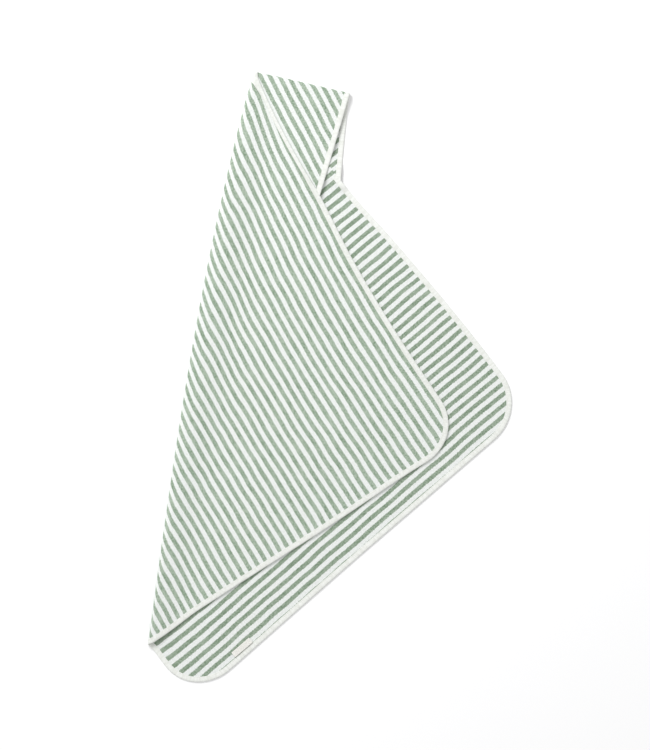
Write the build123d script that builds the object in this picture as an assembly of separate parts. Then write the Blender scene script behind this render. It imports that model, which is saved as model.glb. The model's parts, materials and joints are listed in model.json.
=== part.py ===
"""Hooded baby towel: a square striped towel, folded on its diagonal, with its corner hood pulled out.

The towel lies on the plane z = 0.  Every outline is drawn in the towel's own plan, where the hood
corner is the origin, the back layer's hood side runs along +X and the cloth lies below the X axis.
The front layer and the hood's front half are drawn opened out flat, then turned 180 degrees about
their fold, as the cloth itself is folded.  At the end everything is turned to the way the towel
lies and moved so that the origin is the centre of its footprint.
"""

import os
from math import atan, cos, degrees, radians, sin

from build123d import *

# Cut sizes, in millimetres
TOWEL_SIDE = 700.0
CORNER_RADIUS = 75.0
HOOD_CORNER_RADIUS = 9.0
HOOD_LEG = 220.0  # the hood is sewn this far down each side from its corner

# How it is folded, in degrees
BACK_ANGLE = 49.0  # from the fold to the back layer's hood side
HOOD_BACK_ANGLE = 38.5  # the hood's back half, from its seam to its fold
HOOD_FRONT_ANGLE = 49.5  # the hood's front half, from its fold to its seam
LAY_ANGLE = -51.5  # the way the back layer's hood side points, from +X
BIAS_PULL = 24.0  # in millimetres: the bottom corner lies pulled out along the bottom edge

# Cloth, tape and thread
CLOTH_THICKNESS = 2.4
RIM_THICKNESS = 1.2  # the cloth is pressed thinner inside the tape
TAPE_WIDTH = 8.5
TAPE_HEIGHT = 3.0  # flush with the cloth's outer face, and proud of its inner face
TAPE_WALL = 0.7  # tape outside the cut edge
THREAD_WIDTH = 0.6
THREAD_HEIGHT = 0.2
THREAD_INSET = 6.8  # from the outer edge to the stitching
SEAM_INSET = 10.0  # from the outer edge to the row that holds the hood
TACK_WIDTH = 2.4
TACK_HEIGHT = 0.4

# Label: a blank woven tab, sewn in at the back layer's bottom edge
LABEL_LENGTH = 37.0
LABEL_REACH = 10.0
LABEL_THICKNESS = 0.5
LABEL_FROM_CORNER = 112.0  # from the bottom corner to the label's middle
LABEL_CLEARANCE = 0.5

# Room between layers and between bodies
LAYER_GAP = 5.0  # between the tape of the two layers
FOLD_GAP = 0.4  # each side of a fold
SEAM_GAP = 0.8  # between the towel's edge and the hood
OPEN_SEAM_ANGLE = 13.5  # cut from the hood's front half, so that it clears the front layer
HINGE_HEIGHT = TAPE_HEIGHT + LAYER_GAP / 2

BOTTOM_CORNER = (TOWEL_SIDE + BIAS_PULL, -TOWEL_SIDE)
BOTTOM_EDGE_ANGLE = 90 + degrees(atan(BIAS_PULL / TOWEL_SIDE))  # the way it leaves that corner

HALF_PLANE = 3.0 * TOWEL_SIDE


def ray_point(angle, distance):
    """The point at a distance from the hood corner, along a ray in plan."""
    return (distance * cos(radians(angle)), distance * sin(radians(angle)))


def side_of_ray(angle, gap, left):
    """The half plane on one side of a ray from the hood corner, held back from it by the gap."""
    edge = Align.MIN if left else Align.MAX
    shift = gap if left else -gap
    return Rot(0, 0, angle) * Pos(0, shift) * Rectangle(HALF_PLANE, HALF_PLANE, align=(Align.CENTER, edge))


def towel_outline(inset):
    """The square towel, pulled out at its bottom corner and rounded, with its edge moved in."""
    outline = make_face(Polyline((0, 0), (TOWEL_SIDE, 0), BOTTOM_CORNER, (0, -TOWEL_SIDE), close=True))
    if inset:
        outline = offset(outline, -inset, kind=Kind.INTERSECTION)
    corners = outline.vertices().sort_by_distance((0, 0))
    outline = fillet(corners[1:], CORNER_RADIUS - inset)
    if inset < HOOD_CORNER_RADIUS:
        tip = outline.vertices().sort_by_distance((0, 0))[0]
        outline = fillet(tip, HOOD_CORNER_RADIUS - inset)
    return outline


def hood_outline(inset):
    """The triangular hood, pulled out flat, with its mouth edge moved in."""
    corner_angle = HOOD_BACK_ANGLE + HOOD_FRONT_ANGLE
    leg = HOOD_LEG - inset / cos(radians(corner_angle / 2))
    return make_face(Polyline((0, 0), (leg, 0), ray_point(corner_angle, leg), close=True))


def slab(outline, low, high):
    """A flat solid between two heights."""
    return extrude(Pos(0, 0, low) * outline, high - low)


def cloth(outline, area):
    """Cloth that is full inside its tape and pressed thin in it."""
    full = slab(outline(TAPE_WIDTH) & area, 0, CLOTH_THICKNESS)
    rim_low = (TAPE_HEIGHT - RIM_THICKNESS) / 2
    rim = slab(outline(TAPE_WALL) & area, rim_low, rim_low + RIM_THICKNESS)
    return full + rim


def tape(outline, area):
    """The tape: it wraps the cut edge and covers both faces."""
    whole = slab((outline(0) - outline(TAPE_WIDTH)) & area, 0, TAPE_HEIGHT)
    return whole - cloth(outline, area)


def stitching(outline, area, low):
    """A row of lockstitch along the tape's inner edge, as one thin rib."""
    row = outline(THREAD_INSET) - outline(THREAD_INSET + THREAD_WIDTH)
    return slab(row & area, low, low + THREAD_HEIGHT)


def seam_row(angle, side, low):
    """The straight row that holds the hood to the towel, beside the tape."""
    length = HOOD_LEG - 2 * SEAM_INSET
    row = Pos(SEAM_INSET + length / 2, side * SEAM_INSET) * Rectangle(length, THREAD_WIDTH)
    return slab(Rot(0, 0, angle) * row, low, low + THREAD_HEIGHT)


def bar_tack(angle, side, low):
    """The tack across the tape where the hood ends, outside the stitching."""
    middle = (TAPE_WALL + THREAD_INSET) / 2
    tack = Pos(HOOD_LEG, side * middle) * Rectangle(TACK_WIDTH, THREAD_INSET - TAPE_WALL)
    return slab(Rot(0, 0, angle) * tack, low, low + TACK_HEIGHT)


def folded_over(solid, angle):
    """The solid turned onto the other layer about a ray from the hood corner."""
    x, y = ray_point(angle, 1)
    return solid.rotate(Axis((0, 0, HINGE_HEIGHT), (x, y, 0)), 180)


# Each layer of the towel ends at the fold
back_area = side_of_ray(-BACK_ANGLE, FOLD_GAP, left=True)
front_area = side_of_ray(-BACK_ANGLE, FOLD_GAP, left=False)

# Each half of the hood reaches from its seam to the hood's own fold
hood_back_area = side_of_ray(0, SEAM_GAP, left=True) & side_of_ray(HOOD_BACK_ANGLE, FOLD_GAP, left=False)
hood_front_area = side_of_ray(HOOD_BACK_ANGLE, FOLD_GAP, left=True)
hood_front_area &= side_of_ray(HOOD_BACK_ANGLE + HOOD_FRONT_ANGLE - OPEN_SEAM_ANGLE, SEAM_GAP, left=False)

nodes = {}

# Back layer, its inner face up
nodes["back_panel"] = cloth(towel_outline, back_area)
nodes["back_edge_binding"] = tape(towel_outline, back_area)
nodes["back_edge_stitching"] = stitching(towel_outline, back_area, TAPE_HEIGHT)
nodes["back_hood_seam_thread"] = seam_row(0, -1, CLOTH_THICKNESS)
nodes["back_hood_bar_tack"] = bar_tack(0, -1, TAPE_HEIGHT)

# Front layer, drawn opened out and then folded over, its outer face up.  What lies on its outer
# face is drawn under it.
front_flat = {
    "front_panel": cloth(towel_outline, front_area),
    "front_edge_binding": tape(towel_outline, front_area),
    "front_edge_stitching": stitching(towel_outline, front_area, -THREAD_HEIGHT),
    "front_hood_seam_thread": seam_row(-90, 1, -THREAD_HEIGHT),
    "front_hood_bar_tack": bar_tack(-90, 1, -TACK_HEIGHT),
}
for name, solid in front_flat.items():
    nodes[name] = folded_over(solid, -BACK_ANGLE)

# Hood, pulled out: its back half lies beside the back layer and its front half is folded over it
nodes["hood_back_panel"] = cloth(hood_outline, hood_back_area)
nodes["hood_back_binding"] = tape(hood_outline, hood_back_area)
nodes["hood_back_stitching"] = stitching(hood_outline, hood_back_area, TAPE_HEIGHT)
hood_front_flat = {
    "hood_front_panel": cloth(hood_outline, hood_front_area),
    "hood_front_binding": tape(hood_outline, hood_front_area),
    "hood_front_stitching": stitching(hood_outline, hood_front_area, -THREAD_HEIGHT),
}
for name, solid in hood_front_flat.items():
    nodes[name] = folded_over(solid, HOOD_BACK_ANGLE)

# Label: it lies on the back layer's inner face, with its root against the tape.  Its place is along
# the bottom edge from the bottom corner, and in from that edge.
bottom_edge = Pos(*BOTTOM_CORNER) * Rot(0, 0, BOTTOM_EDGE_ANGLE)
label_root = TAPE_WIDTH + LABEL_CLEARANCE
label_low = TAPE_HEIGHT + LABEL_CLEARANCE
label_hinge = bottom_edge * Pos(LABEL_FROM_CORNER, label_root, label_low)
label_middle = Pos(LABEL_FROM_CORNER, label_root + LABEL_REACH / 2)
label_plan = bottom_edge * label_middle * Rectangle(LABEL_LENGTH, LABEL_REACH)
nodes["woven_label"] = slab(label_plan, label_low, label_low + LABEL_THICKNESS)

# Label tacks: one across the tape at each end of the label's root, outside the stitching
tacks = []
for end in (-1, 1):
    tack_middle = Pos(LABEL_FROM_CORNER + end * LABEL_LENGTH / 2, (THREAD_INSET + TAPE_WALL) / 2)
    tack = bottom_edge * tack_middle * Rectangle(THREAD_WIDTH, THREAD_INSET - TAPE_WALL)
    tacks.append(slab(tack, TAPE_HEIGHT, TAPE_HEIGHT + TACK_HEIGHT))
nodes["label_tacks"] = Compound(tacks)

# The way it lies, about the centre of its footprint
turn = Rot(0, 0, LAY_ANGLE)
footprint = Compound([turn * solid for solid in nodes.values()]).bounding_box()
centre = footprint.center()
place = Pos(-centre.X, -centre.Y) * turn

os.makedirs("parts", exist_ok=True)
for name, solid in nodes.items():
    nodes[name] = place * solid
    export_step(nodes[name], f"parts/{name}.step")


def row_point(location):
    """A place in plan, where the towel lies, in metres."""
    point = (place * location).position
    return tuple(round(value / 1000, 6) for value in point)


def row_direction(angle):
    """A direction in plan, as the towel lies."""
    x, y = ray_point(angle + LAY_ANGLE, 1)
    return (round(x, 6), round(y, 6), 0.0)


print("hood corner, m", row_point(Pos(0, 0, HINGE_HEIGHT)))
print("towel fold axis", row_direction(-BACK_ANGLE))
print("hood seam axis", row_direction(0))
print("hood fold axis", row_direction(HOOD_BACK_ANGLE + 180))
print("label hinge, m", row_point(label_hinge))
print("label hinge axis", row_direction(BOTTOM_EDGE_ANGLE))
print("footprint, mm", footprint.size)
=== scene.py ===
"""Hooded baby towel: a square of striped cotton, folded on its diagonal, with its corner hood pulled out.

The cloth is laid out in a plan whose points are complex numbers in millimetres.  The hood corner is
the plan's origin, the towel's fold runs along its real axis, and both layers lie on its positive
imaginary side.  The cloth's own points are complex numbers too: the real part is the distance from
the front layer's side of the square, where the stripes begin, and the imaginary part is the
distance from the back layer's hood side.
"""

import json
import math

import bpy
import numpy as np
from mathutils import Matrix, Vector
from mathutils.geometry import delaunay_2d_cdt

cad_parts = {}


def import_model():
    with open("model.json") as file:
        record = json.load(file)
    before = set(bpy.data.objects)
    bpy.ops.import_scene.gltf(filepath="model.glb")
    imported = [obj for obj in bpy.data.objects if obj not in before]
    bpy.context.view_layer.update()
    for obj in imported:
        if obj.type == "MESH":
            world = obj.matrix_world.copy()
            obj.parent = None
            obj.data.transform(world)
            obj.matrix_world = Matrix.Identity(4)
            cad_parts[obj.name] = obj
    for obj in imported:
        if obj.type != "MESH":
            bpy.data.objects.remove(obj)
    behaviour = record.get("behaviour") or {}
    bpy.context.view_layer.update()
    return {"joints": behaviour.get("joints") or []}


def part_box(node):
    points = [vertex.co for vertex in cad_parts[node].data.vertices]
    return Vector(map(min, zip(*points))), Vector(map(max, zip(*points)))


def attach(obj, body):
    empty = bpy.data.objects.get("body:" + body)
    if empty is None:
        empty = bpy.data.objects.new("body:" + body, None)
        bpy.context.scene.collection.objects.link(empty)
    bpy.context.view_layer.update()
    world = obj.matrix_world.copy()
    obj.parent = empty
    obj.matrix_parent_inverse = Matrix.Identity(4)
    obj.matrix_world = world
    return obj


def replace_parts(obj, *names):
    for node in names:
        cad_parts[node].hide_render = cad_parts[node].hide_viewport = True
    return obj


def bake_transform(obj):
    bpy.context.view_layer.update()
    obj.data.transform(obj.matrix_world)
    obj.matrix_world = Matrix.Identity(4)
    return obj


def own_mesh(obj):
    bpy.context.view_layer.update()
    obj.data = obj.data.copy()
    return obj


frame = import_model()

MM = 0.001

# Cut sizes, as in the CAD model, in millimetres
TOWEL_SIDE = 700.0
CORNER_RADIUS = 75.0
HOOD_LEG = 220.0
HOOD_CORNER_ANGLE = 88.0  # between the opened hood's sides, in degrees
BIAS_PULL = 24.0  # the bottom corner lies pulled out by this much
MOUTH_DRAW = 4.0  # the hood's mouth lies drawn in by this much at its crease
MOUTH_BOW = 1.0  # and it bows in by this much halfway down its back half
SEAM_BOW = 4.5  # the hood's front seam lies bowed by this much towards the towel's fold
EDGE_STEP = 4.0  # an edge is worked out in points this far apart
ROUND_POINTS = 40  # and a round corner in this many

# Stripes: distances in the cloth, in millimetres
STRIPE_STEP = 13.67
FIRST_STRIPE = 10.5
HOOD_STRIPE_STEP = 13.4
HOOD_FIRST_STRIPE = 4.5
GREEN_SHARE = 0.5  # of a step is green
STRIPE_BLUR = 0.03  # a stripe's edge is soft over this share of a step, to each side

# Heights of the cloth's middle surface above the floor, in millimetres
LOWER = 1.5
UPPER = 4.6
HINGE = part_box("front_panel")[0].z / MM * 0.5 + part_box("back_panel")[1].z / MM * 0.5
TOP = 2 * HINGE - LOWER
RIDGE_FLAT = 8.0  # beside a seam the cloth stays level for this distance
RIDGE_SLOPE = 14.0  # and slopes over this one
DROP = 45.0  # the front layer comes down from the fold over this distance
ROOM_SHARE = 0.9  # where a seam and a crease come together, a slope ends at this share of the room
FLAT_SHARE = 0.3  # and starts at this share of that
WAVE = 0.9  # how uneven the cloth is, away from the fold and the seams
BACK_WAVE_SHARE = 0.4  # the back layer's unevenness is only this share of it
WAVE_FROM_FOLD = 60.0  # it grows over this distance from the fold
WAVE_FROM_SEAM = 40.0  # and over this one from a seam
HOOD_RISE = 24.0  # the hood's front half rises from its seam over this distance
HOOD_RISE_SHARE = 0.6  # or over this share of the room
HOOD_SAG = 0.38  # away from its crease it sags by this share
HOOD_CREST = 50.0  # over this distance
TIP_HEIGHT = 0.25  # near the hood corner the layers lie closer together, down to this share
TIP_REACH = 45.0  # within this distance of it

# The rolled edge at a crease
BULGE = 1.4  # it reaches out by this much beyond the hinge line
FOLD_BOW = 17.0  # and the towel's fold bows out by this much more
FOLD_BOW_SKEW = 0.8  # below 1, so that the bow is widest nearer the hood
FOLD_LENGTH = 925.0  # from the hood corner to the bow's far end
ROLL = math.pi / 2 * math.hypot(HINGE - LOWER, BULGE) / math.sqrt(2)  # half the way round it
MARGIN = 0.5  # its cloth goes this far on to each layer
FOLD_OVERLAP = 4  # each layer's edge is known this many points past the fold

# Cloth, tape and thread, in millimetres
CLOTH = 1.8
CLOTH_SPACING = 6.0
CLEAR_SHARE = 0.55  # inner points keep this share of the spacing away from an outline
TUCK = 4.0  # the cloth ends this far inside the tape's outer edge
TAPE = 8.5
FLANGE_LIFT = 2.9  # the seam's flange lies on the cloth, this far above its middle surface
FLANGE_FADE = 30.0  # it sinks into the edge over this distance, before the seam's end
FLANGE_TUCK = 0.25  # this share of the flange's width is rolled under it
FLANGE_SPREAD = 0.75  # the flange is wider by this share at the hood corner
SPREAD_REACH = 42.0  # and narrows over this distance
SEAM_SPACING = 4.0  # between the cloth's points down a seam
STITCH_PITCH = 3.2
STITCH_LENGTH = 2.5
STITCH_INSET = 6.9  # from the tape's outer edge
STITCH_LIFT = 1.15  # from the cloth's middle surface
THREAD_RADIUS = 0.24
SEAM_START = 18.0  # a seam's own stitches start at this distance from the hood corner
SEAM_INSET = 10.0
SEAM_LIFT = 0.95  # and lie on the cloth, beside the tape
TACK_START = 0.7  # inset of a bar tack's first stitch
TACK_END = 6.8  # and of its last one
TACK_STITCHES = 8
TACK_LIFT = 1.45
TAPE_HALF_PROFILE = [
    (0.0, 0.0), (0.15, 0.62), (0.6, 1.12), (1.5, 1.4), (3.2, 1.45), (5.4, 1.36),
    (6.5, 1.2), (6.9, 1.1), (7.3, 1.2), (8.1, 1.18), (8.45, 1.02), (8.5, 0.7),
]

# The mouth's tape: it narrows into both seams
MOUTH_TAPER = 2.0
MOUTH_OVERLAP = 2  # its upper end lies on the front layer's tape, this many edge steps past the seam
MOUTH_LIFT = 2.9

# Label: a ribbon folded double, with both ends sewn in at its root
LABEL_LENGTH = 37.0
LABEL_REACH = 10.0
LABEL_PLY = 0.45
LABEL_GAP = 0.4
LABEL_BOW = 0.8
TAPE_TO_LABEL = 2.4
LABEL_TACK_STEP = 2.0

# How the cloth is pulled as it lies: along the fold, away from it, reach, pull along, pull away
FOLD_PULLS = [(550, 0, 250, 10, 0)]
FRONT_PULLS = [
    (260, 200, 170, 5, -8),
    (440, 340, 170, -4, -11),
    (560, 410, 120, -12, -6),
    (450, 150, 200, -3, -9),
    (750, 160, 170, -10, -6),
]
BACK_PULLS = [
    (330, 370, 170, -10, 6),
    (480, 500, 120, -4, -1),
    (700, 300, 180, -4, -4),
    (955, 70, 60, 4, -2),
]
PULL_FADE = 70.0  # the layers' own pulls fade towards the fold over this distance
HOOD_FADE = 120.0  # and towards the hood over this one

# How the stripes slip along the fold: distance along it and slip
FOLD_SLIP = [(0, -18), (50, -15), (128, 0), (190, 8), (420, 9), (560, 6), (700, 0), (880, -8)]
SLIP_REACH = 40.0

# Picture and its light: places in metres
SKY_STRENGTH = 0.7
WINDOW_PLACE = (-1.6, 2.3, 2.6)
WINDOW_SIZE = 1.4
WINDOW_POWER = 95.0
FLOOR_REACH = 6000.0  # in millimetres, as the other meshes
PICTURE_HEIGHT = 1.2
CAMERA_HEIGHT = 6.0
AIM = (-0.0075, 0.002)


def turn(degrees):
    """The unit plan vector at an angle."""
    return np.exp(1j * np.radians(degrees))


def joint_named(name):
    """A joint of the frame."""
    return next(joint for joint in frame["joints"] if joint["name"] == name)


def world_angle(joint_name, sign=1):
    """The direction of a joint's axis, in degrees."""
    x, y, _ = joint_named(joint_name)["axis"]
    return math.degrees(math.atan2(sign * y, sign * x))


HOOD_CORNER = joint_named("towel_fold")["pos_m"]
FOLD_ANGLE = world_angle("towel_fold")
BACK_ANGLE = world_angle("hood_seam") - FOLD_ANGLE  # the back layer's hood side, in the plan
CREASE_ANGLE = world_angle("hood_fold", -1) - FOLD_ANGLE  # the hood's own fold, in the plan


def world(plan, height):
    """Points in millimetres, in the frame, for plan points and heights."""
    flat = plan * turn(FOLD_ANGLE)
    height = np.broadcast_to(height, np.shape(flat))
    return np.stack([flat.real + HOOD_CORNER[0] / MM, flat.imag + HOOD_CORNER[1] / MM, height], axis=-1)


def direction(plan, rise):
    """Unit vectors in the frame, for plan vectors and their rises."""
    flat = plan * turn(FOLD_ANGLE)
    vectors = np.stack([flat.real, flat.imag, np.broadcast_to(rise, np.shape(flat))], axis=-1)
    return vectors / np.linalg.norm(vectors, axis=-1, keepdims=True)


def smooth(x):
    """An S curve from 0 to 1."""
    x = np.clip(x, 0, 1)
    return x * x * (3 - 2 * x)


def travelled(points):
    """The distance along a polyline at each of its points."""
    return np.concatenate([[0], np.cumsum(abs(np.diff(points)))])


def even(points, step):
    """A polyline's points, spaced evenly along it."""
    points = np.asarray(points)
    known = travelled(points)
    places = np.linspace(0, known[-1], max(2, round(known[-1] / step) + 1))
    return np.interp(places, known, points.real) + 1j * np.interp(places, known, points.imag)


def eased(points, rounds):
    """A polyline with its bends softened and its ends kept."""
    for _ in range(rounds):
        inner = (points[:-2] + 2 * points[1:-1] + points[2:]) / 4
        points = np.concatenate([points[:1], inner, points[-1:]])
    return points


def inward(points):
    """Unit vectors to the left of the way along a polyline."""
    ways = np.gradient(points)
    return 1j * ways / abs(ways)


# How the cloth lies in the plan


def pull(plan, pulls):
    """How far the cloth is pulled at plan points."""
    total = np.zeros_like(plan)
    for along, away, reach, pull_along, pull_away in pulls:
        near = np.exp(-abs(plan - (along + 1j * away)) ** 2 / (2 * reach**2))
        total = total + near * (pull_along + 1j * pull_away)
    return total


def fold_shift(plan):
    """The pull that both layers share, along their fold."""
    return pull(plan, FOLD_PULLS) * smooth((abs(plan) - HOOD_LEG) / HOOD_FADE)


def back_shift(plan):
    """How far the back layer's cloth is pulled."""
    own = pull(plan, BACK_PULLS) * smooth((abs(plan) - HOOD_LEG) / HOOD_FADE)
    return fold_shift(plan) + own * smooth(plan.imag / PULL_FADE)


def front_shift(plan):
    """How far the front layer's cloth is pulled."""
    return fold_shift(plan) + pull(plan, FRONT_PULLS) * smooth(plan.imag / PULL_FADE)


def moved(plan, shift):
    """Where plan points end up when the pull is felt at their new place."""
    place = plan
    for _ in range(5):
        place = plan + shift(place)
    return place


def stretch(cloth):
    """How much wider the cloth lies than it was cut, because its bottom corner is pulled out."""
    return 1 + BIAS_PULL * cloth.imag / TOWEL_SIDE**2


def back_plan(cloth):
    """The back layer's stretched cloth, laid in the plan."""
    return moved(np.conj(cloth) * turn(BACK_ANGLE), back_shift)


def front_plan(cloth):
    """The front layer's stretched cloth, folded over in the plan."""
    return moved(cloth / turn(BACK_ANGLE), front_shift)


def towel_edge():
    """The opened towel's edge, from the end of the hood on the back layer to that on the front one."""
    bottom_corner = TOWEL_SIDE + BIAS_PULL + 1j * TOWEL_SIDE
    corners = [HOOD_LEG, TOWEL_SIDE, bottom_corner, 1j * TOWEL_SIDE, 1j * HOOD_LEG]
    points = [corners[0]]
    for before, corner, after in zip(corners, corners[1:], corners[2:]):
        arrive = (corner - before) / abs(corner - before)
        half_turn = np.angle((after - corner) / arrive) / 2
        start = corner - arrive * CORNER_RADIUS * math.tan(half_turn)
        centre = start + 1j * arrive * CORNER_RADIUS
        points.extend(centre + (start - centre) * np.exp(1j * np.linspace(0, 2 * half_turn, ROUND_POINTS)))
    points.append(corners[-1])
    return even(points, EDGE_STEP)


EDGE = towel_edge()
FOLD_POINT = np.argmax(np.angle(EDGE, deg=True) > BACK_ANGLE)
BACK_EDGE = back_plan(EDGE[: FOLD_POINT + FOLD_OVERLAP])  # from the hood to just past the fold
FRONT_EDGE = front_plan(EDGE[FOLD_POINT - FOLD_OVERLAP :])[::-1]  # from the hood to just past the fold
BACK_SEAM_END = HOOD_LEG * turn(BACK_ANGLE)
FRONT_SEAM_END = FRONT_EDGE[0]
FRONT_SEAM_ANGLE = np.angle(FRONT_SEAM_END, deg=True)
OFF_MIDDLE = BACK_ANGLE + HOOD_CORNER_ANGLE / 2 - CREASE_ANGLE  # the hood isn't folded quite in half
MOUTH_DISTANCE = HOOD_LEG * math.cos(math.radians(HOOD_CORNER_ANGLE / 2))
MOUTH_MIDDLE = (MOUTH_DISTANCE / math.cos(math.radians(OFF_MIDDLE)) - MOUTH_DRAW) * turn(CREASE_ANGLE)


# Heights


def bowed(share, end, bow):
    """Points of a line from the hood corner to an end, bowed to the right of its way."""
    return end * share - 4j * bow * share * (1 - share) * end / abs(end)


def off_line(plan, end, bow=0.0):
    """The distance from plan points to a hood seam."""
    share = np.clip((plan / end).real, 0, 1)
    return abs(plan - bowed(share, end, bow))


def no_bow(along):
    """A straight crease."""
    return 0.0 * along


def fold_bow(along):
    """How far the towel's fold bows out, along it."""
    share = np.clip(along / FOLD_LENGTH, 0, 1) ** FOLD_BOW_SKEW
    return FOLD_BOW * np.sin(math.pi * share)


def ridge(away, off):
    """1 along a seam and 0 beside it, also where the seam and the crease come together."""
    room = np.maximum(ROOM_SHARE * (away + off), 1e-6)
    flat = np.minimum(RIDGE_FLAT, FLAT_SHARE * room)
    return 1 - smooth((off - flat) / (np.minimum(RIDGE_FLAT + RIDGE_SLOPE, room) - flat))


def narrowing(distance):
    """How much of their height the layers keep, by the distance from the hood corner."""
    return TIP_HEIGHT + (1 - TIP_HEIGHT) * smooth(distance / TIP_REACH)


def waves(plan, off):
    """The height of a layer's slight unevenness, at a distance from its seam."""
    long = np.sin(plan.real / 61 + plan.imag / 47)
    short = np.sin(plan.real / 33 - plan.imag / 52 + 1.3)
    calm = smooth(plan.imag / WAVE_FROM_FOLD) * smooth((off - RIDGE_FLAT) / WAVE_FROM_SEAM)
    return WAVE * (0.5 + 0.3 * long + 0.2 * short) * calm


def back_height(plan):
    """The back layer: flat on the floor, and raised to the hinge line at the hood's seam."""
    off = off_line(plan, BACK_SEAM_END)
    return LOWER + (HINGE - LOWER) * ridge(plan.imag, off) + BACK_WAVE_SHARE * waves(plan, off)


def front_height(plan):
    """The front layer: it drops from the fold on to the back layer."""
    off = off_line(plan, FRONT_SEAM_END, SEAM_BOW)
    room = np.maximum(ROOM_SHARE * (plan.imag + off), MARGIN + 0.1)
    dropped = smooth((plan.imag - MARGIN) / (np.minimum(DROP, room) - MARGIN + 0.1))
    seam = (HINGE - UPPER) * ridge(plan.imag, off)
    return TOP + (UPPER - TOP + seam) * dropped + waves(plan, off)


def hood_away(plan):
    """The distance from the hood's crease."""
    return -(plan / turn(CREASE_ANGLE)).imag


def hood_back_height(plan):
    """The hood's back half: flat on the floor, and raised at its seam."""
    return LOWER + (HINGE - LOWER) * ridge(hood_away(plan), off_line(plan, BACK_SEAM_END))


def hood_front_height(plan):
    """The hood's front half: high at the crease, and down to the hinge line at its seam."""
    away = hood_away(plan)
    off = off_line(plan, FRONT_SEAM_END, SEAM_BOW)
    risen = smooth(off / np.minimum(HOOD_RISE, HOOD_RISE_SHARE * (away + off) + 0.1))
    sag = HOOD_SAG * smooth((away - MARGIN) / HOOD_CREST)
    return HINGE + (TOP - HINGE) * risen * (1 - sag)


# The stripes at each point of the cloth: one unit is one stripe


def towel_stripes(plan, round_share):
    """Stripe coordinates of towel cloth; round_share is 1 on the back layer and 0 on the front one."""
    slip = np.interp(plan.real, *zip(*FOLD_SLIP)) * np.exp(-(plan.imag / SLIP_REACH) ** 2)
    back = np.conj((plan - slip - back_shift(plan)) / turn(BACK_ANGLE))
    front = (plan - slip - front_shift(plan)) * turn(BACK_ANGLE)
    cloth = np.where(round_share == 1, back, front)
    across = (cloth.real / stretch(cloth) - FIRST_STRIPE) / STRIPE_STEP
    return np.stack([across + round_share, cloth.imag / STRIPE_STEP], axis=-1)


def hood_stripes(plan, round_share):
    """Stripe coordinates of hood cloth; round_share is 1 on the back half and 0 on the front one."""
    mirrored = np.conj(plan / turn(CREASE_ANGLE)) * turn(CREASE_ANGLE)
    opened = np.where(round_share == 1, mirrored, plan) / turn(FRONT_SEAM_ANGLE)
    across = (opened.imag - HOOD_FIRST_STRIPE) / HOOD_STRIPE_STEP
    return np.stack([across + round_share, opened.real / HOOD_STRIPE_STEP], axis=-1)


class Crease:
    """Cloth folded at a line: a lower layer, a roll round the hinge line and an upper layer.

    Its points are complex numbers: the real part is the distance along the crease, and the imaginary
    part is the way round the cloth, above ROLL on the lower layer and below -ROLL on the upper one.
    """

    def __init__(self, angle, side, heights, stripes, bow, bodies):
        self.way = turn(angle)
        self.side = side
        self.lower, self.upper = heights
        self.stripes = stripes
        self.bow = bow
        self.bodies = bodies

    def wrapped(self, plan, upper):
        """The crease's own points for plan points of one layer."""
        local = plan / self.way
        return local.real + 1j * (self.side * local.imag + ROLL) * (-1 if upper else 1)

    def turned(self, points):
        """How far round the roll: 0 on the lower layer and pi on the upper one."""
        return np.pi / 2 * (1 - np.clip(points.imag / ROLL, -1, 1))

    def reach(self, points, bulge):
        """How far the roll reaches out beyond the hinge line."""
        return bulge * narrowing(points.real) + self.bow(points.real)

    def plan(self, points, bulge):
        """Plan points, with the roll reaching out."""
        out = self.reach(points, bulge) * np.sin(self.turned(points))
        away = np.maximum(abs(points.imag) - ROLL, 0) - out
        return (points.real + 1j * self.side * away) * self.way

    def height(self, points, plan):
        """Heights of the middle surface."""
        layers = np.where(points.imag > 0, self.lower(plan), self.upper(plan))
        roll = HINGE - (HINGE - LOWER) * np.cos(self.turned(points))
        height = np.where(abs(points.imag) < ROLL, roll, layers)
        return HINGE + (height - HINGE) * narrowing(abs(plan))

    def lay(self, points):
        """Places in the frame, the inner face's normals, and stripe coordinates."""
        plan = self.plan(points, BULGE)
        place = world(plan, self.height(points, plan))
        step = 0.5
        slope = (self.height(points, plan + step) - self.height(points, plan - step)) / (2 * step)
        climb = (self.height(points, plan + 1j * step) - self.height(points, plan - 1j * step)) / (2 * step)
        facing = np.where(points.imag > 0, 1.0, -1.0)
        flat_normal = direction(-facing * (slope + 1j * climb), facing)
        turned = self.turned(points)
        outward = 1j * self.side * self.way
        out = np.sin(turned) / self.reach(points, BULGE)
        up = np.cos(turned) / (narrowing(points.real) * (HINGE - LOWER))
        roll_normal = direction(outward * out, up)
        on_roll = (abs(points.imag) < ROLL)[..., None]
        normal = np.where(on_roll, roll_normal, flat_normal)
        return place, normal, self.stripes(self.plan(points, 0), 1 - turned / np.pi)


TOWEL = Crease(0, 1, (back_height, front_height), towel_stripes, fold_bow, ("back_layer", "front_layer"))
hood_heights = (hood_back_height, hood_front_height)
HOOD = Crease(CREASE_ANGLE, -1, hood_heights, hood_stripes, no_bow, ("hood_back", "hood_front"))


# Meshes


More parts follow.
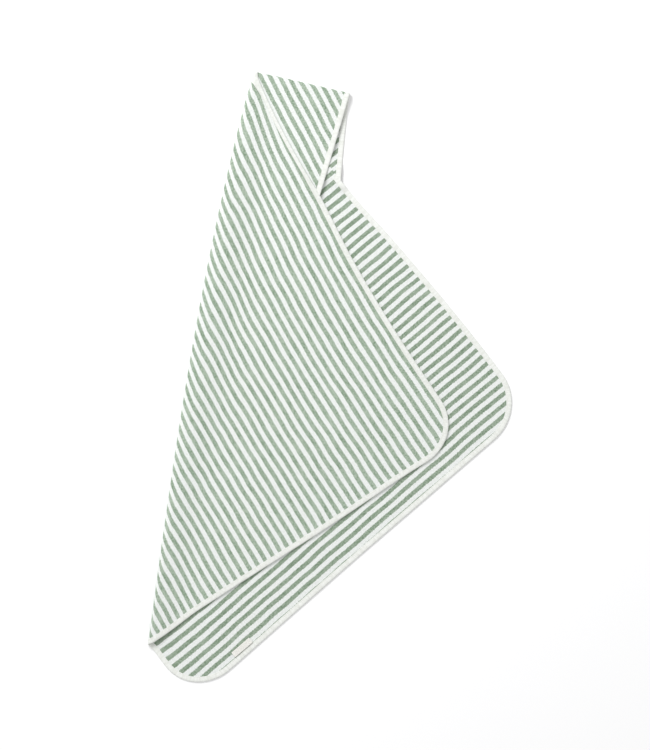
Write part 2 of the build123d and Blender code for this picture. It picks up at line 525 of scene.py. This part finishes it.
def add_mesh(name, vertices, faces, materials, slots=None, coordinates=None, sharp=()):
    """A mesh object from points in millimetres, smooth except at its sharp edges."""
    mesh = bpy.data.meshes.new(name)
    mesh.from_pydata((np.asarray(vertices) * MM).tolist(), [], faces)
    for material in materials:
        mesh.materials.append(material)
    if slots is not None:
        mesh.polygons.foreach_set("material_index", slots)
    if coordinates is not None:
        loops = np.empty(len(mesh.loops), np.int32)
        mesh.loops.foreach_get("vertex_index", loops)
        layer = mesh.uv_layers.new(name="Cloth")
        layer.data.foreach_set("uv", np.asarray(coordinates)[loops].astype(np.float32).ravel())
    mesh.polygons.foreach_set("use_smooth", [True] * len(mesh.polygons))
    if sharp:
        edges = [tuple(sorted(edge.vertices)) in sharp for edge in mesh.edges]
        mesh.attributes.new("sharp_edge", "BOOLEAN", "EDGE").data.foreach_set("value", edges)
    mesh.validate()
    mesh.update()
    piece = bpy.data.objects.new(name, mesh)
    bpy.context.scene.collection.objects.link(piece)
    return piece


def add_cloth(name, places, normals, stripes, faces):
    """Closed cloth of even thickness about a middle surface: its inner face, its outer face and its rim."""
    count = len(places)
    half = normals * CLOTH / 2
    used = {}
    for face in faces:
        for edge in zip(face, face[1:] + face[:1]):
            used.setdefault(tuple(sorted(edge)), []).append(edge)
    rim = [edges[0] for edges in used.values() if len(edges) == 1]
    outer = [[corner + count for corner in reversed(face)] for face in faces]
    wall = [[a, a + count, b + count, b] for a, b in rim]
    slots = [0] * len(faces) + [1] * (len(outer) + len(wall))
    sharp = {tuple(sorted(edge)) for edge in rim}
    sharp |= {(a + count, b + count) for a, b in sharp}
    vertices = np.concatenate([places + half, places - half])
    materials = [INNER_CLOTH, OUTER_CLOTH]
    coordinates = np.tile(stripes, (2, 1))
    cloth = add_mesh(name, vertices, faces + outer + wall, materials, slots, coordinates, sharp)
    return cloth


def inside(points, outline):
    """Which points are inside a closed outline."""
    result = np.zeros(len(points), bool)
    for start, end in zip(outline, np.roll(outline, -1)):
        if start.imag != end.imag:
            spans = (start.imag > points.imag) != (end.imag > points.imag)
            share = (points.imag - start.imag) / (end.imag - start.imag)
            result ^= spans & (points.real < start.real + share * (end.real - start.real))
    return result


def filled(outline):
    """A triangle mesh of the plan inside an outline: its points, and its faces turning left."""
    rows = np.arange(outline.imag.min(), outline.imag.max(), CLOTH_SPACING * math.sqrt(0.75))
    columns = np.arange(outline.real.min(), outline.real.max(), CLOTH_SPACING)
    grid = np.add.outer(1j * rows, columns.astype(complex))
    grid[1::2] += CLOTH_SPACING / 2
    grid = grid.ravel()
    grid = grid[inside(grid, outline)]
    clear = np.array([abs(outline - point).min() for point in grid]) > CLEAR_SHARE * CLOTH_SPACING
    points = np.concatenate([outline, grid[clear]])
    corners = [Vector((point.real, point.imag)) for point in points]
    made = delaunay_2d_cdt(corners, [], [list(range(len(outline)))], 1, 1e-5)
    return np.array([complex(*corner) for corner in made[0]]), [list(face) for face in made[2]]


def cloth_layer(name, crease, outline, upper):
    """One flat layer of cloth beside a crease."""
    plan, faces = filled(outline)
    if upper:
        faces = [face[::-1] for face in faces]
    places, normals, stripes = crease.lay(crease.wrapped(plan, upper))
    return add_cloth(name, places, normals, stripes, faces)


def cloth_roll(name, crease, lower_span, upper_span):
    """The rolled cloth at a crease, with a narrow margin on each layer.

    A span is where the cloth starts and ends along the crease, at that layer's margin.
    """
    quarter = np.linspace(0, ROLL, 11)[1:]
    side = np.concatenate([quarter, [ROLL + MARGIN / 2, ROLL + MARGIN]])
    across = np.concatenate([-side[::-1], [0], side])
    starts, ends = [np.interp(across, across[[0, -1]], pair) for pair in zip(upper_span, lower_span)]
    shares = np.linspace(0, 1, round((ends[0] - starts[0]) / CLOTH_SPACING) + 1)
    points = starts + np.outer(shares, ends - starts) + 1j * across
    places, normals, stripes = crease.lay(points.ravel())
    columns = len(across)
    corners = np.arange(points.size).reshape(points.shape)[:-1, :-1].ravel()
    faces = [[int(corner) + step for step in (0, columns, columns + 1, 1)] for corner in corners]
    faces = [face[:: crease.side] for face in faces]
    return add_cloth(name, places, normals, stripes, faces)


def add_rings(name, rings, material, lengths):
    """A closed band through rings of points, with flat ends; its coordinates are in millimetres."""
    count = rings.shape[1]
    faces = []
    for ring in range(len(rings) - 1):
        for corner in range(count):
            low = ring * count + corner
            high = ring * count + (corner + 1) % count
            faces.append([low, low + count, high + count, high])
    last = (len(rings) - 1) * count
    faces.append(list(range(count)))
    faces.append([last + corner for corner in reversed(range(count))])
    girth = np.concatenate([[0], np.cumsum(np.linalg.norm(np.diff(rings[0], axis=0), axis=1))])
    coordinates = np.stack(np.meshgrid(lengths, girth, indexing="ij"), axis=-1).reshape(-1, 2)
    ends = [[ring * count + corner for corner in range(count)] for ring in (0, len(rings) - 1)]
    sharp = {tuple(sorted(edge)) for end in ends for edge in zip(end, end[1:] + end[:1])}
    return add_mesh(name, rings.reshape(-1, 3), faces, [material], None, coordinates, sharp)


def add_tape(name, rings, lengths):
    """A tape through its cross-sections."""
    tape = add_rings(name, rings, TAPE_CLOTH, lengths)
    return tape


class Border:
    """A taped border: its outer edge in a crease's own points, with the cloth on its inner side."""

    def __init__(self, crease, path, lifts, widths):
        self.crease = crease
        self.path = path
        self.lifts = lifts
        self.widths = widths
        self.across = crease.side * inward(path)

    def cut(self, first, last):
        """The stretch of this border between two of its points."""
        kept = slice(first, last + 1)
        part = Border(self.crease, self.path[kept], self.lifts[kept], self.widths[kept])
        part.across = self.across[kept]
        return part

    def at(self, inset):
        """Places at an inset from the outer edge, on the tape's middle, and the inner face's normals."""
        points = self.path + self.across * inset * self.widths
        places, normals, _ = self.crease.lay(points)
        return places - normals * self.lifts[:, None], normals

    def rings(self):
        """The tape's cross-sections: folded over the outer edge, and around the cloth."""
        under = [(inset, -rise) for inset, rise in reversed(TAPE_HALF_PROFILE[1:])]
        columns = []
        for inset, rise in TAPE_HALF_PROFILE + under:
            places, normals = self.at(inset)
            columns.append(places + normals * rise)
        return np.stack(columns, axis=1)

    def tape(self, name):
        """The tape of this border."""
        return add_tape(name, self.rings(), travelled(self.path))

    def stitches(self, name, inset=STITCH_INSET, lift=STITCH_LIFT):
        """A row of stitches on both faces, except on the face that a flange hides."""
        places, normals = self.at(inset)
        ways = np.gradient(places, axis=0)
        bare = self.lifts < FLANGE_LIFT / 2
        middles = np.concatenate([places - normals * lift, (places + normals * lift)[bare]])
        return add_stitches(
            name, middles, np.concatenate([ways, ways[bare]]), np.concatenate([-normals, normals[bare]])
        )

    def bar_tack(self, name, index):
        """A few stitches side by side across the tape, on its outer face."""
        insets = np.linspace(TACK_START, TACK_END, TACK_STITCHES)
        found = [self.at(inset) for inset in insets]
        middles = np.array([places[index] - normals[index] * TACK_LIFT for places, normals in found])
        way = found[0][0][index + 1] - found[0][0][index - 1]
        normals = np.array([-normals[index] for _, normals in found])
        return add_stitches(name, middles, np.tile(way, (len(insets), 1)), normals)


def add_stitches(name, middles, ways, normals):
    """A group of stitches: short rounded threads that dip into the cloth at both ends."""
    ways = ways / np.linalg.norm(ways, axis=1, keepdims=True)
    sides = np.cross(normals, ways)
    sides /= np.linalg.norm(sides, axis=1, keepdims=True)
    around = np.arange(6) * math.pi / 3
    vertices = []
    faces = []
    for middle, way, side, normal in zip(middles, ways, sides, normals):
        first = len(vertices)
        ring = (np.outer(np.cos(around), side) + np.outer(np.sin(around), normal)) * THREAD_RADIUS
        vertices.append(middle - way * STITCH_LENGTH / 2 - normal * THREAD_RADIUS)
        vertices.extend(middle - way * STITCH_LENGTH / 4 + ring)
        vertices.extend(middle + way * STITCH_LENGTH / 4 + ring)
        vertices.append(middle + way * STITCH_LENGTH / 2 - normal * THREAD_RADIUS)
        for corner in range(6):
            here = first + 1 + corner
            after = first + 1 + (corner + 1) % 6
            faces.append([first, after, here])
            faces.append([here, after, after + 6, here + 6])
            faces.append([here + 6, after + 6, first + 13])
    stitches = add_mesh(name, vertices, faces, [THREAD])
    return stitches


# Materials


class Shader:
    """A cloth material that is being made, with short calls for its nodes."""

    def __init__(self, name, roughness, sheen):
        self.material = bpy.data.materials.new(name)
        self.material.use_nodes = True
        self.tree = self.material.node_tree
        self.surface = self.tree.nodes["Principled BSDF"]
        self.surface.inputs["Roughness"].default_value = roughness
        self.surface.inputs["Sheen Weight"].default_value = sheen
        self.surface.inputs["Sheen Roughness"].default_value = 0.5
        self.surface.inputs["Specular IOR Level"].default_value = 0.25

    def node(self, kind, inputs, **settings):
        """A node with its inputs set or linked, and its first output."""
        made = self.tree.nodes.new(kind)
        for name, value in settings.items():
            setattr(made, name, value)
        for name, value in inputs.items():
            socket = made.inputs[name]
            if isinstance(value, bpy.types.NodeSocket):
                self.tree.links.new(value, socket)
            else:
                socket.default_value = value
        return made.outputs[0]

    def math(self, operation, first, second=0.0):
        """A math node."""
        return self.node("ShaderNodeMath", {0: first, 1: second}, operation=operation)

    def ripple(self, value, count):
        """Sine waves, this many to a unit."""
        return self.math("SINE", self.math("MULTIPLY", value, 2 * math.pi * count))

    def cloth_axes(self):
        """The two stripe coordinates."""
        cloth = self.node("ShaderNodeUVMap", {}, uv_map="Cloth")
        split = self.tree.nodes.new("ShaderNodeSeparateXYZ")
        self.tree.links.new(cloth, split.inputs[0])
        return split.outputs[0], split.outputs[1]

    def at(self, x, y):
        """A vector from two values."""
        return self.node("ShaderNodeCombineXYZ", {"X": x, "Y": y})

    def noise(self, vector, scale, detail=2.0, rough=0.5):
        """Noise from 0 to 1."""
        inputs = {"Vector": vector, "Scale": scale, "Detail": detail, "Roughness": rough}
        return self.node("ShaderNodeTexNoise", inputs)

    def between(self, share, start, end):
        """A colour between two, by a share."""
        made = self.tree.nodes.new("ShaderNodeMix")
        made.data_type = "RGBA"
        for index, value in ((0, share), (6, start), (7, end)):
            if isinstance(value, bpy.types.NodeSocket):
                self.tree.links.new(value, made.inputs[index])
            else:
                made.inputs[index].default_value = value
        return made.outputs[2]

    def ramp(self, value, low, high, start=0.0, end=1.0):
        """A value taken smoothly from one range to another."""
        inputs = {"Value": value, "From Min": low, "From Max": high, "To Min": start, "To Max": end}
        return self.node("ShaderNodeMapRange", inputs, interpolation_type="SMOOTHSTEP")

    def finish(self, colour, height, depth):
        """The material, with its colour and its relief in millimetres."""
        self.tree.links.new(colour, self.surface.inputs["Base Color"])
        bump = self.node("ShaderNodeBump", {"Height": height, "Distance": depth * MM, "Strength": 1.0})
        self.tree.links.new(bump, self.surface.inputs["Normal"])
        return self.material


def colour(red, green, blue):
    """A colour given in display values from 0 to 255."""
    linear = [((value / 255 + 0.055) / 1.055) ** 2.4 for value in (red, green, blue)]
    return (*linear, 1.0)


def striped_cloth(name, green, fleck, pale, dim, ribbed):
    """Woven stripes: heathered green with ragged edges on white, with the threads in relief."""
    shader = Shader(name, 0.92, 0.12)
    across, along = shader.cloth_axes()
    # The stripes' edges step from thread to thread, and drift slowly
    threads = shader.at(shader.math("MULTIPLY", across, 3.0), shader.math("MULTIPLY", along, 11.0))
    ragged = shader.ramp(shader.noise(threads, 1.0, 1.0), 0.3, 0.7, -0.035, 0.035)
    drift = shader.ramp(shader.noise(shader.at(across, along), 0.22, 1.0), 0.3, 0.7, -0.05, 0.05)
    place = shader.math("ADD", shader.math("ADD", across, ragged), drift)
    from_middle = shader.math("PINGPONG", place, 0.5)
    white = shader.ramp(from_middle, GREEN_SHARE / 2 - STRIPE_BLUR, GREEN_SHARE / 2 + STRIPE_BLUR)
    # Darker flecks in the green yarn, and a little grey in the white
    grain = shader.noise(shader.at(across, along), 5.0, 3.0, 0.75)
    patch = shader.noise(shader.at(across, along), 0.6, 2.0)
    flecks = shader.ramp(shader.math("ADD", grain, shader.math("MULTIPLY", patch, 0.3)), 0.45, 0.9)
    green_yarn = shader.between(flecks, green, fleck)
    white_yarn = shader.between(shader.ramp(grain, 0.35, 0.75), pale, dim)
    # The threads' relief: ribs on the inner face and a plain weave on the outer one
    rows = shader.ripple(along, 9.0 if ribbed else 12.0)
    weave = rows if ribbed else shader.math("MULTIPLY", rows, shader.ripple(across, 12.0))
    relief = shader.math("ADD", shader.math("MULTIPLY", weave, 0.5), shader.math("MULTIPLY", grain, 1.2))
    tint = shader.between(white, green_yarn, white_yarn)
    if ribbed:
        shade = shader.ramp(rows, -1.0, 1.0, 0.0, 0.16)
        tint = shader.between(shade, tint, fleck)
        tint = shader.between(white, tint, white_yarn)
    return shader.finish(tint, relief, 0.12)


def tape_cloth():
    """Off-white jersey tape with fine ribs along it."""
    shader = Shader("binding_tape", 0.9, 0.1)
    along, girth = shader.cloth_axes()
    knit = shader.math("MULTIPLY", shader.ripple(girth, 1 / 0.8), shader.ripple(along, 1 / 1.1))
    pucker = shader.noise(shader.at(along, shader.math("MULTIPLY", girth, 0.3)), 0.3, 2.0)
    tone = shader.between(shader.ramp(pucker, 0.3, 0.7), colour(238, 240, 236), colour(226, 228, 222))
    relief = shader.math("ADD", shader.math("MULTIPLY", knit, 0.4), shader.math("MULTIPLY", pucker, 2.0))
    return shader.finish(tone, relief, 0.12)


def sewing_thread():
    """Twisted off-white polyester thread."""
    shader = Shader("sewing_thread", 0.6, 0.0)
    place = shader.tree.nodes.new("ShaderNodeTexCoord").outputs["Object"]
    twist = shader.noise(place, 2500.0, 1.0)
    tone = shader.between(twist, colour(240, 240, 236), colour(214, 215, 208))
    return shader.finish(tone, twist, 0.05)


def label_cloth():
    """Cream woven ribbon, blank."""
    shader = Shader("label_ribbon", 0.75, 0.05)
    along, across = shader.cloth_axes()
    rows = shader.ripple(across, 1 / 0.45)
    warp = shader.ripple(along, 1 / 0.6)
    slubs = shader.noise(shader.at(along, across), 0.8, 2.0)
    tone = shader.between(shader.ramp(slubs, 0.3, 0.7), colour(246, 245, 240), colour(236, 234, 227))
    relief = shader.math("ADD", rows, shader.math("MULTIPLY", warp, 0.5))
    return shader.finish(tone, relief, 0.05)


OUTER_CLOTH = striped_cloth(
    "striped_cloth_outer", colour(180, 194, 178), colour(109, 134, 108), colour(237, 240, 238),
    colour(217, 220, 217), ribbed=False,
)
INNER_CLOTH = striped_cloth(
    "striped_cloth_inner", colour(169, 183, 166), colour(99, 123, 97), colour(236, 239, 237),
    colour(215, 218, 215), ribbed=True,
)
TAPE_CLOTH = tape_cloth()
THREAD = sewing_thread()
LABEL_CLOTH = label_cloth()


# Outlines


def cut_at_margin(line, away):
    """A line from its start to where it comes within the margin of a crease."""
    kept = np.argmax(away <= MARGIN)
    share = (away[kept - 1] - MARGIN) / (away[kept - 1] - away[kept])
    return np.append(line[:kept], line[kept - 1] + share * (line[kept] - line[kept - 1]))


def seam_line(end, away, bow):
    """Points down a hood seam, from the crease's margin to an end."""
    share = np.linspace(MARGIN / away, 1, round(abs(end) / SEAM_SPACING))
    return bowed(share, end, bow)


def towel_outline(edge, seam_end, bow):
    """A towel layer's outline: down its seam, along its edge inside the tape, and back up the fold."""
    seam = seam_line(seam_end, seam_end.imag, bow)
    seam = np.append(seam[0].real + 1j * MARGIN, seam[1:])
    edge = edge - TUCK * inward(edge)
    edge = cut_at_margin(edge, edge.imag)
    fold = even([edge[-1], seam[0]], CLOTH_SPACING)
    return np.concatenate([seam, edge[1:], fold[1:-1]])


def mouth_line(seam_end, bow):
    """The mouth's edge, from a seam's end to the crease, bowed in by this much."""
    share = np.linspace(0, 1, 40)
    straight = MOUTH_MIDDLE - seam_end
    inner = 1j * straight / abs(straight)
    return seam_end + share * straight + bow * 4 * share * (1 - share) * inner


def crossed(first, second):
    """The cross product of two plan vectors."""
    return (np.conj(first) * second).imag


def hood_outline(seam_end, seam_bow, mouth_bow):
    """A hood half's outline: down its seam, along its mouth inside the tape, and back down the crease."""
    mouth = mouth_line(seam_end, mouth_bow)
    flip = np.sign(crossed(mouth[-1] - mouth[0], -mouth[0]))
    mouth = mouth + TUCK * flip * inward(mouth)
    way = mouth[1] - mouth[0]
    corner = seam_end * crossed(mouth[0], way) / crossed(seam_end, way)
    past = ((mouth - corner) / way).real
    mouth = np.append(corner, mouth[past > 0.5])
    mouth = cut_at_margin(mouth, hood_away(mouth))
    seam = seam_line(corner, hood_away(corner), seam_bow)
    seam = np.append((seam[0] / turn(CREASE_ANGLE)).real - 1j * MARGIN, seam[1:] / turn(CREASE_ANGLE))
    seam = seam * turn(CREASE_ANGLE)
    crease = even([mouth[-1], seam[0]], CLOTH_SPACING)
    return np.concatenate([seam, mouth[1:], crease[1:-1]])


def margin_span(outline, crease):
    """Where an outline's stretch beside the crease starts and ends."""
    along = (outline / crease.way).real
    beside = abs(abs((outline / crease.way).imag) - MARGIN) < 0.01
    return along[beside].min(), along[beside].max()


# Cloth


def add_folded(names, crease, outlines):
    """A folded sheet in three pieces: its lower layer, its roll at the crease and its upper layer."""
    lower_outline, upper_outline = outlines
    lower = cloth_layer(names[0], crease, lower_outline, upper=False)
    spans = [margin_span(outline, crease) for outline in outlines]
    roll = cloth_roll(names[1], crease, *spans)
    upper = cloth_layer(names[2], crease, upper_outline, upper=True)
    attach(lower, crease.bodies[0])
    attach(upper, crease.bodies[1])
    return lower, roll, upper


def bend_at(piece):
    """A piece that goes round a crease: its place is baked into its mesh, and it rides on no body."""
    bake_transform(piece)


def flatten_when_open(piece):
    """The towel's bowed roll rides on the back layer, with its own copy of its mesh."""
    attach(piece, "back_layer")
    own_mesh(piece)


towel_outlines = [
    towel_outline(BACK_EDGE, BACK_SEAM_END, 0.0),
    towel_outline(FRONT_EDGE, FRONT_SEAM_END, SEAM_BOW),
]
towel_names = ("back_cloth", "fold_cloth", "front_cloth")
back_cloth, fold_cloth, front_cloth = add_folded(towel_names, TOWEL, towel_outlines)
flatten_when_open(fold_cloth)
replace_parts(back_cloth, "back_panel")
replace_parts(front_cloth, "front_panel")

hood_outlines = [
    hood_outline(BACK_SEAM_END, 0.0, MOUTH_BOW),
    hood_outline(FRONT_SEAM_END, SEAM_BOW, 0.0),
]
hood_names = ("hood_back_cloth", "hood_fold_cloth", "hood_front_cloth")
hood_back_cloth, hood_fold_cloth, hood_front_cloth = add_folded(hood_names, HOOD, hood_outlines)
bend_at(hood_fold_cloth)
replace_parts(hood_back_cloth, "hood_back_panel")
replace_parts(hood_front_cloth, "hood_front_panel")


# Tape and stitching round the towel: the front layer's seam and edge, the fold, and the back layer's


def dress(border, names):
    """A border's tapes and stitching, in pairs: on one layer, round the crease and on the other layer."""
    crease = border.crease
    bend = np.flatnonzero(abs(border.path.imag) < ROLL + MARGIN)
    ends = [0, bend[0], bend[-1], len(border.path) - 1]
    stretches = [border.cut(first, last) for first, last in zip(ends, ends[1:])]
    tapes = [stretch.tape(f"{name}_tape") for name, stretch in zip(names, stretches)]
    threads = [stretch.stitches(f"{name}_thread") for name, stretch in zip(names, stretches)]
    for index in (0, 2):
        body = crease.bodies[0] if stretches[index].path[0].imag > 0 else crease.bodies[1]
        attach(tapes[index], body)
        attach(threads[index], body)
        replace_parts(tapes[index], f"{names[index]}_binding")
        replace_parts(threads[index], f"{names[index]}_stitching")
    bend_at(tapes[1])
    bend_at(threads[1])
    return list(zip(tapes, threads))


def seam_tape_line(end, bow):
    """The tape's outer edge down a hood seam: it starts beside the crease at the hood corner."""
    line = bowed(np.linspace(0, 1, 80), end, bow)
    return line.real + 1j * np.hypot(TAPE / 2, line.imag)


def side_of_towel(seam_end, bow, edge, upper):
    """The tape's outer edge on one layer, from the hood corner to the fold."""
    beside = edge[edge.imag > 0.5]
    return TOWEL.wrapped(np.concatenate([seam_tape_line(seam_end, bow), beside[1:]]), upper)


front_side = side_of_towel(FRONT_SEAM_END, SEAM_BOW, FRONT_EDGE, True)
back_side = side_of_towel(BACK_SEAM_END, 0.0, BACK_EDGE, False)
loop = eased(even(np.concatenate([front_side, back_side[::-1]]), STITCH_PITCH), 4)
past_seam = loop.real - np.where(loop.imag < 0, FRONT_SEAM_END.real, BACK_SEAM_END.real)
flange_lifts = FLANGE_LIFT * (1 - smooth(past_seam / FLANGE_FADE + 1))
flange_widths = 1 - FLANGE_TUCK * flange_lifts / FLANGE_LIFT
flange_widths += FLANGE_SPREAD * (1 - smooth(loop.real / SPREAD_REACH))
towel_border = Border(TOWEL, loop, flange_lifts, flange_widths)

front_edge, bottom_turn, back_edge = dress(towel_border, ("front_edge", "bottom_turn", "back_edge"))


def add_tip():
    """The tape over the hood corner, from the end of the back layer's flange to the front one's."""
    top = towel_border.rings()[0]
    bottom = towel_border.rings()[-1]
    middle = (top + bottom) / 2
    half = (top - bottom) / 2
    origin, beyond = world(np.array([0.0, -1.0]), 0)
    turned = np.linspace(np.pi, 0, 13)
    reach = np.linalg.norm(half, axis=1)[:, None]
    across = half * np.cos(turned)[:, None, None]
    out = (beyond - origin) * reach * np.sin(turned)[:, None, None]
    tape = add_tape("hood_tip_tape", middle + across + out, (np.pi - turned) * FLANGE_LIFT)
    bend_at(tape)
    return tape


tip_tape = add_tip()


# The rows that hold the hood, and the tacks where they end


def seam_row(side, seam_end, bow):
    """The row of stitches beside the tape, down one hood seam."""
    line = bowed(np.linspace(SEAM_START / abs(seam_end), 1, 80), seam_end, bow)
    path = TOWEL.wrapped(even(line, STITCH_PITCH), side == "front")
    path = path if side == "front" else path[::-1]
    border = Border(TOWEL, path, np.zeros(len(path)), np.ones(len(path)))
    row = border.stitches(f"{side}_seam_row", SEAM_INSET, SEAM_LIFT)
    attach(row, f"{side}_layer")
    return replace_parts(row, f"{side}_hood_seam_thread")


def hood_tack(side, seam_end):
    """The tack across the tape where one hood seam ends."""
    end = np.argmin(abs(loop - TOWEL.wrapped(seam_end, side == "front")))
    tack = towel_border.bar_tack(f"{side}_hood_tack", end)
    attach(tack, f"{side}_layer")
    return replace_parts(tack, f"{side}_hood_bar_tack")


front_row = seam_row("front", FRONT_SEAM_END, SEAM_BOW)
back_row = seam_row("back", BACK_SEAM_END, 0.0)
front_tack = hood_tack("front", FRONT_SEAM_END)
back_tack = hood_tack("back", BACK_SEAM_END)


# Tape and stitching round the hood's mouth

back_mouth = HOOD.wrapped(mouth_line(BACK_SEAM_END, MOUTH_BOW)[:-1], False)
front_mouth = HOOD.wrapped(mouth_line(FRONT_EDGE[MOUTH_OVERLAP], 0)[:-1], True)
mouth = eased(even(np.concatenate([back_mouth, front_mouth[::-1]]), STITCH_PITCH), 2)
from_start = np.arange(len(mouth)) * STITCH_PITCH
to_end = np.minimum(from_start, from_start[::-1])
mouth_widths = np.clip((to_end + MOUTH_TAPER) / TAPE, 0, 1)
mouth_lifts = MOUTH_LIFT * (1 - smooth(from_start[::-1] / FLANGE_FADE))
mouth_border = Border(HOOD, mouth, mouth_lifts, mouth_widths)
hood_back_mouth, hood_turn, hood_front_mouth = dress(mouth_border, ("hood_back", "hood_turn", "hood_front"))


# Label

LABEL_ROOT = np.array(joint_named("label_flip")["pos_m"]) / MM
LABEL_WAY = np.array(joint_named("label_flip")["axis"])
LABEL_OUT = np.array([-LABEL_WAY[1], LABEL_WAY[0], 0.0])


def add_label():
    """A blank ribbon folded double: its lower ply, its round fold at the free edge and its upper ply."""
    reach = LABEL_REACH - LABEL_GAP - LABEL_PLY
    radius = (LABEL_GAP + LABEL_PLY) / 2
    out = np.linspace(0, reach, 12)
    round_fold = np.linspace(-np.pi / 2, np.pi / 2, 9)[1:-1]
    middle = [(x, -radius) for x in out]
    middle += [(reach + radius * math.cos(angle), radius * math.sin(angle)) for angle in round_fold]
    middle += [(x, radius) for x in out[::-1]]
    middle = np.array(middle)
    ways = np.gradient(middle, axis=0)
    ways /= np.linalg.norm(ways, axis=1, keepdims=True)
    sides = np.stack([-ways[:, 1], ways[:, 0]], axis=1) * LABEL_PLY / 2
    profile = np.concatenate([middle + sides, (middle - sides)[::-1]])
    along = np.linspace(-LABEL_LENGTH / 2, LABEL_LENGTH / 2, 25)
    bow = LABEL_BOW * (1 - (2 * along / LABEL_LENGTH) ** 2)
    rings = LABEL_ROOT + along[:, None, None] * LABEL_WAY + profile[None, :, :1] * LABEL_OUT
    lift = bow[:, None] * profile[None, :, 0] / LABEL_REACH + profile[None, :, 1]
    rings = rings + lift[:, :, None] * np.array([0.0, 0.0, 1.0])
    label = add_rings("label_ribbon", rings, LABEL_CLOTH, along)
    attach(label, "label")
    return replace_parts(label, "woven_label")


def add_label_tacks():
    """The stitches across the tape at each end of the label's root."""
    middles = []
    height = np.array([0.0, 0.0, LOWER + TACK_LIFT - LABEL_ROOT[2]])
    for end in (-1, 1):
        root = LABEL_ROOT + end * LABEL_LENGTH / 2 * LABEL_WAY + height
        middles.extend(root - (TAPE_TO_LABEL + step * LABEL_TACK_STEP) * LABEL_OUT for step in range(3))
    middles = np.array(middles)
    ways = np.tile(LABEL_OUT, (len(middles), 1))
    tacks = add_stitches("label_tack_thread", middles, ways, np.tile([0.0, 0.0, 1.0], (len(middles), 1)))
    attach(tacks, "back_layer")
    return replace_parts(tacks, "label_tacks")


label = add_label()
label_tacks = add_label_tacks()


# Floor, light and camera


def floor_paper():
    """Smooth white paper, with a very slight grain."""
    shader = Shader("floor_paper", 0.95, 0.0)
    place = shader.tree.nodes.new("ShaderNodeTexCoord").outputs["Object"]
    grain = shader.noise(place, 400.0, 2.0)
    tone = shader.between(grain, colour(254, 254, 254), colour(252, 252, 253))
    return shader.finish(tone, grain, 0.02)


def add_floor():
    """A pale floor, far wider than the picture."""
    corners = [(x * FLOOR_REACH, y * FLOOR_REACH, 0.0) for x, y in ((-1, -1), (1, -1), (1, 1), (-1, 1))]
    floor = add_mesh("floor", corners, [[0, 1, 2, 3]], [floor_paper()])


def add_light(name, place, size, power):
    """A square soft light that shines at the towel."""
    light = bpy.data.lights.new(name, "AREA")
    light.shape = "SQUARE"
    light.size = size
    light.energy = power
    lamp = bpy.data.objects.new(name, light)
    lamp.location = place
    lamp.rotation_euler = (-Vector(place)).to_track_quat("-Z", "Y").to_euler()
    bpy.context.scene.collection.objects.link(lamp)


def add_sky(strength):
    """Even white light from all sides."""
    sky = bpy.data.worlds.new("studio")
    sky.use_nodes = True
    sky.node_tree.nodes["Background"].inputs["Color"].default_value = (1, 1, 1, 1)
    sky.node_tree.nodes["Background"].inputs["Strength"].default_value = strength
    bpy.context.scene.world = sky


def add_camera():
    """A long lens straight above the towel."""
    lens = bpy.data.cameras.new("camera")
    lens.sensor_width = 36.0
    lens.lens = lens.sensor_width * CAMERA_HEIGHT / PICTURE_HEIGHT
    camera = bpy.data.objects.new("camera", lens)
    camera.location = (*AIM, CAMERA_HEIGHT)
    bpy.context.scene.collection.objects.link(camera)
    bpy.context.scene.camera = camera


add_floor()
add_sky(SKY_STRENGTH)
add_light("window", WINDOW_PLACE, WINDOW_SIZE, WINDOW_POWER)
add_camera()
bpy.context.scene.view_settings.view_transform = "Standard"
